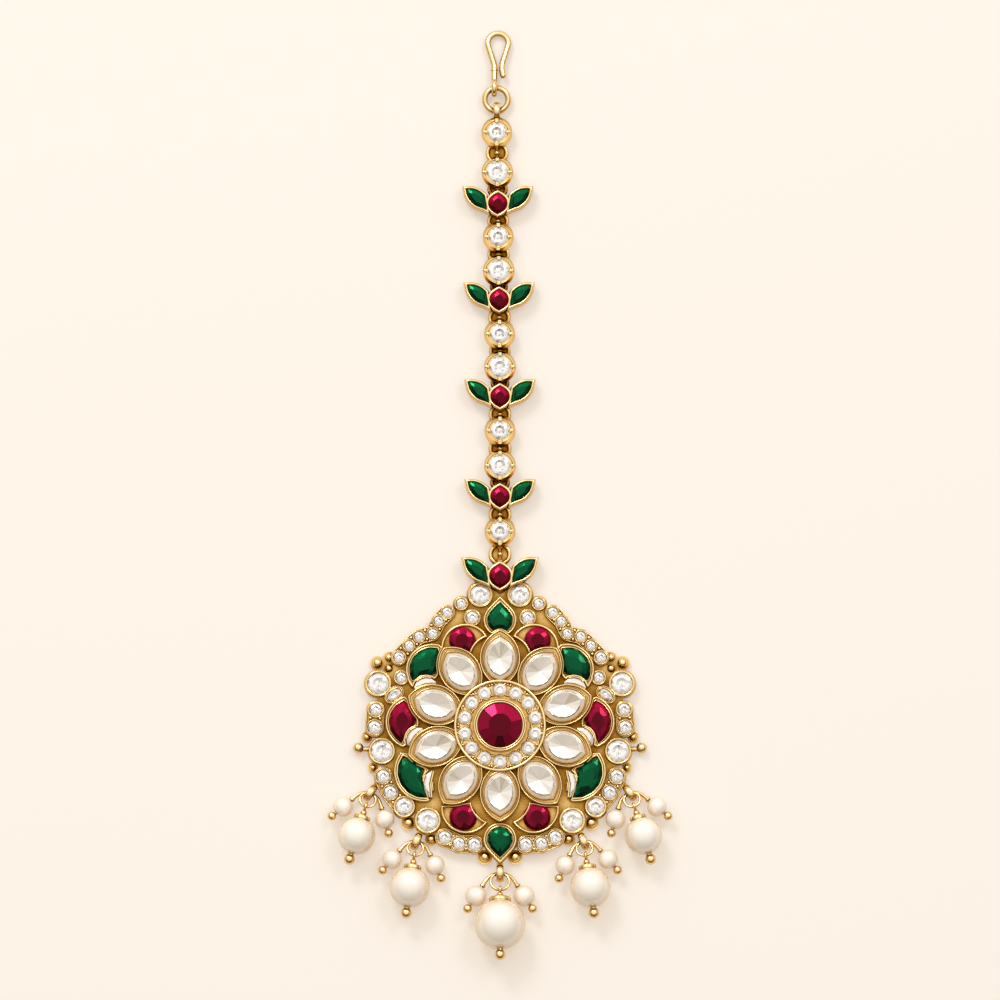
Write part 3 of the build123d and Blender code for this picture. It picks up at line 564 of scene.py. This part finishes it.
leaf_rims = Shape()
LONG_CUT = [(1.0, -0.3, 0), (1.0, 0.0, 0), (0.80, 0.24, 1), (0.50, 0.40, 0)]
gem_set("chain_rubies", "chain_ruby_cuts", ruby, LONG_CUT, count=12, walls=leaf_rims,
        rim=(0.46, 0.26, 1.2))
gem_set("chain_emeralds", "chain_emerald_cuts", emerald, LONG_CUT, count=12, walls=leaf_rims,
        rim=(0.42, 0.26, 1.2))
solid("chain_bezels", leaf_rims, gold, 50)

# ---------------------------------------------------------------- pendant's plate and settings
# The pendant is built up in storeys on a flat plate: settings round the edge, then the accents, the petals
# and the halo. Every wall is soldered on and its top edge is burnished round, which catches the light.

dress("pendant_frame", gold)


def evened(points, spacing=0.2, corner=0.5):
    """The loop with evenly spaced points and its small kinks ironed out, all but its real corners."""
    length = sum((b - a).length for a, b in zip(points, points[1:] + points[:1]))
    loop = even_loop(points, max(12, round(length / spacing)))
    count = len(loop)
    for _ in range(2):
        ways = [loop[(k + 1) % count] - loop[k] for k in range(count)]
        ironed = [(loop[k - 1] + loop[k] * 2 + loop[(k + 1) % count]) / 4 for k in range(count)]
        loop = [loop[k] if ways[k - 1].angle(ways[k]) > corner else ironed[k] for k in range(count)]
    return loop


def storey_outlines(name, height):
    """Edges of the flat tops that a part has at one height, each loop with the metal on its left."""
    mesh = welded(name, 0.001)
    tops = [face for face in mesh.faces
            if face.normal.z > 0.999 and abs(face.calc_center_median().z / MM - height) < 0.004]
    flat, ahead = set(tops), {}
    for face in tops:
        for corner in face.loops:
            if sum(other in flat for other in corner.edge.link_faces) == 1:
                ahead.setdefault(corner.vert, []).append(corner.link_loop_next.vert)
    loops = []
    while ahead:
        path = [next(iter(ahead))]
        while path[-1] in ahead:
            ends = ahead[path[-1]]
            following = ends.pop()
            if not ends:
                del ahead[path[-1]]
            path.append(following)
        points = []
        for vert in path[:-1]:
            point = Vector((vert.co.x / MM, vert.co.y / MM))
            if not points or (point - points[-1]).length > 0.04:
                points.append(point)
        if len(points) > 3:
            loops.append(evened(points))
    mesh.free()
    return loops


def edge_bead(shape, outline, height, wide, rise):
    """A rounded bead that covers the outer edge of a wall, on the metal's side of its outline."""
    rows = [[(*point, height - 0.3) for point in moved_out(outline, 0.015)]]
    for step in range(7):
        turn = pi * step / 6
        out, up = 0.02 - wide * (1 - cos(turn)) / 2, rise * sin(turn)
        rows.append([(*point, height + up - (0.02 if step == 6 else 0)) for point in moved_out(outline, out)])
    shape.band(rows)


wall_tops = Shape()
RIM_WALL, ACCENT_WALL, MOON_WALL, PETAL_TOP, HALO_WALL_TOP, COLLAR_TOP = 1.9, 2.2, 2.35, 2.9, 3.3, 4.1
for height, wide, rise in ((RIM_WALL, 0.17, 0.12), (ACCENT_WALL, 0.34, 0.20), (MOON_WALL, 0.22, 0.12)):
    for outline in storey_outlines("pendant_frame", height):
        if turning(outline) > 0 or height == MOON_WALL:
            edge_bead(wall_tops, outline, height, wide, rise)
solid("wall_beads", wall_tops, gold, 60)

# ---------------------------------------------------------------- crystals along the edge
# White crystals in close round collets, two sizes, with a grain of gold raised at each side of the gap
# between two of them, and two oval ones beside the upper emeralds.

BRILLIANT = [(1.0, -0.25, 0), (1.0, 0.0, 0), (0.80, 0.20, 1), (0.56, 0.30, 0), (0.28, 0.06, 1),
             (0.0, 0.16, 0)]
LARGE_RADIUS, RIM_GRAIN = 1.3, 0.29
BAND_FOOT, BAND_TOP, BAND_MARGIN, BAND_GAP = 0.9, 1.62, 0.40, 0.8


def around_both(a, reach_a, b, reach_b, count=20):
    """The loop drawn tightly round two circles."""
    way = b - a
    base, lean = atan2(way.y, way.x), acos((reach_a - reach_b) / way.length)
    points = []
    for middle, reach, first, last in ((a, reach_a, base + lean, base + 2 * pi - lean),
                                       (b, reach_b, base - lean, base + lean)):
        turns = [first + (last - first) * k / count for k in range(count + 1)]
        points += [middle + reach * Vector((cos(turn), sin(turn))) for turn in turns]
    return points


rim_gems, rim_collets, grains = Shape(), Shape(), Shape()
rim = gem_islands("rim_crystals")
for girdle, middle, waist in rim:
    radius = reach_of(girdle, middle)
    wall, facets = (0.34, 12) if radius > LARGE_RADIUS else (0.22, 9)
    loop = curved(girdle, parts=5, corner=70)
    bezel(rim_collets, loop, waist, wall, 0.2, 1.5)
    cut = raised(BRILLIANT, waist, min(1, radius / LARGE_RADIUS))
    cut_gem(rim_gems, even_loop(loop, facets), middle, cut)
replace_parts(solid("rim_cuts", rim_gems, crystal, 0), "rim_crystals")
round_ones = [(middle, reach_of(girdle, middle), waist) for girdle, middle, waist in rim
              if min((point - middle).length for point in girdle) > 0.9 * reach_of(girdle, middle)]
for k, (middle, mine, waist) in enumerate(round_ones):
    for other, theirs, _ in round_ones[k + 1:]:
        gap = (other - middle).length
        if gap < mine + theirs + BAND_GAP:
            loop = around_both(middle, mine + BAND_MARGIN, other, theirs + BAND_MARGIN)
            rim_collets.band([[(*point, height) for point in loop] for height in (BAND_FOOT, BAND_TOP)])
            rim_collets.add([(*point, BAND_TOP) for point in loop], [tuple(range(len(loop)))])
            edge_bead(rim_collets, loop, BAND_TOP, 0.26, 0.22)
            way = (other - middle) / gap
            across = Vector((-way.y, way.x))
            spot = middle + way * (mine + (gap - mine - theirs) / 2)
            for side in (-1, 1):
                place = spot + across * side * (0.48 + 0.28 * min(mine, theirs))
                grains.ball(place.x, place.y, waist + 0.02, RIM_GRAIN)
solid("rim_collets", rim_collets, gold, 50)
solid("rim_grains", grains, gold, 60)

# ---------------------------------------------------------------- emerald and ruby accents
# Emerald leaves and ruby moons tucked under the petals, round rubies in open trays and a teardrop above and
# below. They are foiled glass with a small table.

ACCENT_CUT = [(1.0, -0.3, 0), (1.0, 0.0, 0), (0.80, 0.30, 1), (0.48, 0.46, 0)]
ROUND_OVERHANG = 0.32
accent_rims = Shape()
for name in [name for name in nodes if name.startswith(("upper_emerald", "lower_emerald", "side_ruby",
                                                        "top_emerald", "bottom_emerald"))]:
    red = "ruby" in name
    gem_set(name, f"{name}_cut", ruby if red else emerald, ACCENT_CUT, count=14,
            walls=accent_rims, rim=(0.30, 0.28, 1.9))
solid("accent_bezels", accent_rims, gold, 50)
for name in ("top_ruby_left", "top_ruby_right", "bottom_ruby_left", "bottom_ruby_right"):
    gem_set(name, f"{name}_cut", ruby, ACCENT_CUT, count=16, grown=ROUND_OVERHANG)

# ---------------------------------------------------------------- petals
# Ten leaf-shaped uncut stones over silver foil. Each has a double bezel, a tan ledge where the foil shows and
# long facets that meet in the middle; the facets are painted lighter towards the hook and greyer towards the
# chin, a painted light and shade that makes them look sunken.

POLKI_PAINTED_LIT, POLKI_PAINTED_SHADE = (1.0, 0.965, 0.90), (0.52, 0.43, 0.30)
POLKI_CREAM, POLKI_TAN = (0.88, 0.76, 0.57), (0.50, 0.35, 0.18)
INNER_TIP, OUTER_TIP, HALF_WIDTH, PETALS = 6.0, 15.1, 3.2, 10
PETAL_BEAD, PETAL_BEZEL, PETAL_SEAM = (0.34, 0.36), (0.22, 0.34), 0.02
STONE_OVERHANG, LENS_SHARE, LEDGE_RISE = 0.14, 0.82, 0.14


# Painted light: facets facing the hook lighter, facing the chin greyer, with a random share per facet and a
# random cloud.
def uncut_with_painted_light(start, place):
    mixed = painted_light_by_facing(start, 0.20) * 0.7 + per_facet(start, 7.0) * 0.4
    return (mixed + cloud(start, place, 1.6, 2.0) * 0.15).between(POLKI_PAINTED_SHADE, POLKI_PAINTED_LIT)


# The ledge's tan varies at random as its own colour and is painted lighter where it faces the hook.
def foil_ledge_with_painted_light(start, place):
    mixed = painted_light_by_facing(start, 0.5) * 0.5 + cloud(start, place, 0.7, 2.0) * 0.6
    return mixed.between(POLKI_TAN, POLKI_CREAM)


def growth_lines(start, place):
    return cloud(start, place, 1.0, 2.0)


def petal_outline(turn):
    """The wall of the petal that points along turn: two arcs, kept on its own side of the line to a
    neighbour."""
    half, middle = (OUTER_TIP - INNER_TIP) / 2, (OUTER_TIP + INNER_TIP) / 2
    radius = (half ** 2 + HALF_WIDTH ** 2) / (2 * HALF_WIDTH)
    points = []
    for side in (-1, 1):
        for k in range(32):
            swing = side * asin(half / radius) * (1 - k / 16)
            out, across = middle + radius * sin(swing), side * (HALF_WIDTH - radius + radius * cos(swing))
            limit = out * tan(pi / PETALS) - PETAL_SEAM
            points.append(Vector((out, max(-limit, min(limit, across)))))
    return [Vector((p.x * cos(turn) - p.y * sin(turn), p.x * sin(turn) + p.y * cos(turn))) for p in points]


polki = finish("polki", uncut_with_painted_light, {"Metallic": 0.25, "Roughness": 0.10, "Coat Weight": 0.7}, None,
               growth_lines, 0.10)
polki_edge = finish("polki_edge", foil_ledge_with_painted_light, {"Metallic": 0.1, "Roughness": 0.2, "Coat Weight": 0.6}, None,
                    growth_lines, 0.15)
petal_rims = Shape()
for k in range(PETALS):
    edge_bead(petal_rims, petal_outline(pi / 2 + 2 * pi * k / PETALS), PETAL_TOP, *PETAL_BEAD)
for name in [name for name in nodes if name.startswith("petal_stone")]:
    stone = Shape()
    girdle, middle, _ = gem_islands(name)[0]
    loop, waist = moved_out(curved(girdle, 4), STONE_OVERHANG), PETAL_TOP + 0.03
    bezel(petal_rims, loop, waist, *PETAL_BEZEL, PETAL_TOP - 0.2)
    stone.band([[(*(middle + (point - middle) * share), waist + rise) for point in loop]
                for share, rise in ((1.0, -0.3), (1.0, 0.0), (LENS_SHARE, LEDGE_RISE))], kind=1)
    lens = [middle + (point - middle) * LENS_SHARE for point in even_loop(loop, 14)]
    cut_gem(stone, lens, middle, raised([(1.0, LEDGE_RISE, 0), (0.93, 0.24, 0), (0.0, -0.3, 0)], waist))
    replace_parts(solid(f"{name}_cut", stone, polki, 0, polki_edge), name)
solid("petal_bezels", petal_rims, gold, 60)
gem_set("crescents", "crescent_cuts", polki, [(1.0, -0.3, 0), (1.0, 0.0, 0), (0.6, 0.22, 0)])

# ---------------------------------------------------------------- halo and centre ruby
# Fourteen crystals on a dished ring with a grain of gold at each side of every gap, and the large round ruby
# in a plain polished collar at the top of the pendant.

HALO_GRAINS, HALO_SWING = ((-0.80, 0.19), (0.88, 0.24)), 0.032
halo_gems, halo_collets, halo_grains = Shape(), Shape(), Shape()
halo = gem_islands("halo_crystals")
for girdle, middle, waist in halo:
    radius = reach_of(girdle, middle)
    cut_gem(halo_gems, circle(middle, radius, 9), middle, raised(BRILLIANT, waist))
    bezel(halo_collets, circle(middle, radius, 32), waist, 0.10, 0.10, waist - 0.3)
    between = atan2(middle.y, middle.x) + pi / len(halo)
    for out, size in HALO_GRAINS:
        for turn in (between - HALO_SWING, between + HALO_SWING):
            reach = middle.length + out
            halo_grains.ball(reach * cos(turn), reach * sin(turn), waist, size)
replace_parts(solid("halo_cuts", halo_gems, bright_crystal, 0), "halo_crystals")
for outline in storey_outlines("pendant_frame", HALO_WALL_TOP):
    edge_bead(halo_collets, outline, HALO_WALL_TOP, 0.42, 0.16)
for outline in storey_outlines("pendant_frame", COLLAR_TOP):
    edge_bead(halo_collets, outline, COLLAR_TOP, 0.30, 0.15)
solid("halo_walls", halo_collets, gold, 60)
solid("halo_grains", halo_grains, gold, 60)
CENTRE_CUT = [(1.0, -0.4, 0), (1.0, 0.0, 0), (0.52, 0.60, 0)]
gem_set("centre_ruby", "centre_ruby_cut", ruby, CENTRE_CUT, parts=1, count=12)

# ---------------------------------------------------------------- crest
# A larger flower of a ruby and two emerald leaves, cast in one with the plate where the chain is hung on.

crest_rims = Shape()
gem_set("crest_ruby", "crest_ruby_cut", ruby, LONG_CUT, count=12, walls=crest_rims,
        rim=(0.46, 0.24, 2.0))
gem_set("crest_emeralds", "crest_emerald_cuts", emerald, LONG_CUT, count=12, walls=crest_rims,
        rim=(0.40, 0.24, 2.0))
solid("crest_bezels", crest_rims, gold, 50)

# ---------------------------------------------------------------- pearl drops
# Five drops hang on wire rings: a bowed yoke with a small pearl at each end, and a pin through a large pearl
# that is capped above and held by a gold ball below.

# PEARL_PAINTED_RIM is a painted golden reflection at the pearls' sides.
PEARL_CREAM, PEARL_ROSE, PEARL_PAINTED_RIM = (0.91, 0.87, 0.80), (0.90, 0.83, 0.73), (0.74, 0.50, 0.23)
BEAD_RADIUS = 0.52
large_pearls = [name for name in nodes if name.startswith("pearl_") and name != "pearl_pins"]
for name in ("drop_rings", "drop_yokes", "pearl_pins"):
    dress(name, gold)


def lustre_with_painted_rim(start, place):
    """Cream and rose on top, varying at random, and golden at the sides as a painted reflection."""
    painted_rim_fade = start.node("ShaderNodeMapRange", {"interpolation_type": "SMOOTHSTEP"},
                       {"Value": level(start), "From Min": 0.08, "From Max": 0.88})
    return painted_rim_fade.between(PEARL_PAINTED_RIM, cloud(start, place, 3.0).between(PEARL_ROSE, PEARL_CREAM))


def nacre(start, place):
    return cloud(start, place, 1.4, 2.0)


# The warm emission is a painted glow that lightens the pearls' shaded undersides.
pearl = finish("pearl", lustre_with_painted_rim,
               {"Roughness": 0.30, "Coat Weight": 1.0, "Coat Roughness": 0.15, "Coat IOR": 1.9,
                "Emission Color": (1.0, 0.72, 0.42, 1.0), "Emission Strength": 0.10}, None, nacre, 0.08)
for name in (*large_pearls, "small_pearls"):
    dress(name, pearl)

pins, caps = pieces("pearl_pins"), Shape()
for name in large_pearls:
    low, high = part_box(name)
    middle, radius = (low + high) / 2 / MM, (high.x - low.x) / 2 / MM
    pin = min(pins, key=lambda corners: min((corner - middle).length for corner in corners))
    eye = max((corner for corner in pin if corner.y > middle.y), key=lambda corner: (corner - middle).length)
    way = (eye - middle).normalized()
    caps.lathe(middle, way, [(0.40 * radius, 0.86 * radius), (0.43 * radius, 0.90 * radius + 0.1),
                             (0.43 * radius, radius + 0.14), (0.39 * radius, radius + 0.36),
                             (0.2, radius + 0.42)])
    caps.ball(*(middle + way * (radius + 0.80)), BEAD_RADIUS)
solid("pearl_caps", caps, gold, 40)

# ---------------------------------------------------------------- table, light and camera
# A cream card under the jewel, one large soft lamp from the upper left and a paler one from the upper right.

TABLE_PALE, TABLE_WARM = (0.95, 0.99, 1.0), (1.0, 0.82, 0.645)
SKY_LOW, SKY_HIGH = (0.13, 0.08, 0.04), (1.06, 1.05, 1.04)
card_mesh = bpy.data.meshes.new("card")
card_mesh.from_pydata([(-3, -3, 0), (3, -3, 0), (3, 3, 0), (-3, 3, 0)], [], [(0, 1, 2, 3)])
card = bpy.data.objects.new("card", card_mesh)
bpy.context.scene.collection.objects.link(card)
paper = bpy.data.materials.new("card")
paper.use_nodes = True
tree = paper.node_tree
tree.nodes.clear()
start = Tone(tree)
seen, mirrored, through = (start.node("ShaderNodeLightPath", out=ray) for ray in (0, 3, 6))
direct = start.maths("MINIMUM", seen + mirrored + through, 1.0)
matt = start.node("ShaderNodeBsdfDiffuse", None, {"Color": (*TABLE_PALE, 1.0)})
glow = start.node("ShaderNodeEmission", None, {"Color": (*TABLE_WARM, 1.0), "Strength": 1.0})
both = start.node("ShaderNodeMixShader", None, {0: direct * 0.5, 1: matt, 2: glow})
end = tree.nodes.new("ShaderNodeOutputMaterial")
tree.links.new(both.socket, end.inputs["Surface"])
card_mesh.materials.append(paper)

world = bpy.data.worlds.new("studio")
bpy.context.scene.world = world
world.use_nodes = True
sky = Tone(world.node_tree)
way = sky.node("ShaderNodeTexCoord", out=0)
along, above = (sky.node("ShaderNodeSeparateXYZ", None, {0: way}, out=axis) for axis in (1, 2))
slope = sky.node("ShaderNodeMapRange", {"interpolation_type": "SMOOTHSTEP"},
                 {"Value": above * 0.85 + along * 0.45, "From Min": 0.05, "From Max": 0.9})
world.node_tree.links.new(slope.between(SKY_LOW, SKY_HIGH).socket,
                          world.node_tree.nodes["Background"].inputs["Color"])


def lamp(name, place, target, size, watts, colour):
    """A soft round lamp at place, turned to target."""
    light = bpy.data.lights.new(name, "AREA")
    light.shape, light.size, light.energy, light.color = "DISK", size, watts, colour
    body = bpy.data.objects.new(name, light)
    body.location = place
    body.rotation_euler = (Vector(target) - Vector(place)).to_track_quat("-Z", "Y").to_euler()
    bpy.context.scene.collection.objects.link(body)


low, high = cad_box
middle = (low + high) / 2
lamp("key", middle + Vector((-0.25, 0.5, 0.6)), middle, 0.28, 2.2, (1.0, 0.96, 0.90))
lamp("side", middle + Vector((0.35, 0.35, 0.7)), middle, 0.22, 0.9, (1.0, 0.97, 0.93))

ELEVATION, DISTANCE, VIEW_HEIGHT = 84, 3.0, 0.1565
camera = bpy.data.objects.new("camera", bpy.data.cameras.new("camera"))
bpy.context.scene.collection.objects.link(camera)
target = Vector((0.0, 0.0356, 0.0015))
back = Vector((0, -cos(radians(ELEVATION)), sin(radians(ELEVATION))))
camera.location = target + back * DISTANCE
camera.rotation_euler = (-back).to_track_quat("-Z", "Y").to_euler()
camera.data.lens = camera.data.sensor_width * DISTANCE / VIEW_HEIGHT
camera.data.clip_start, camera.data.clip_end = 0.1, 10
bpy.context.scene.camera = camera
bpy.context.scene.view_settings.view_transform = "Standard"
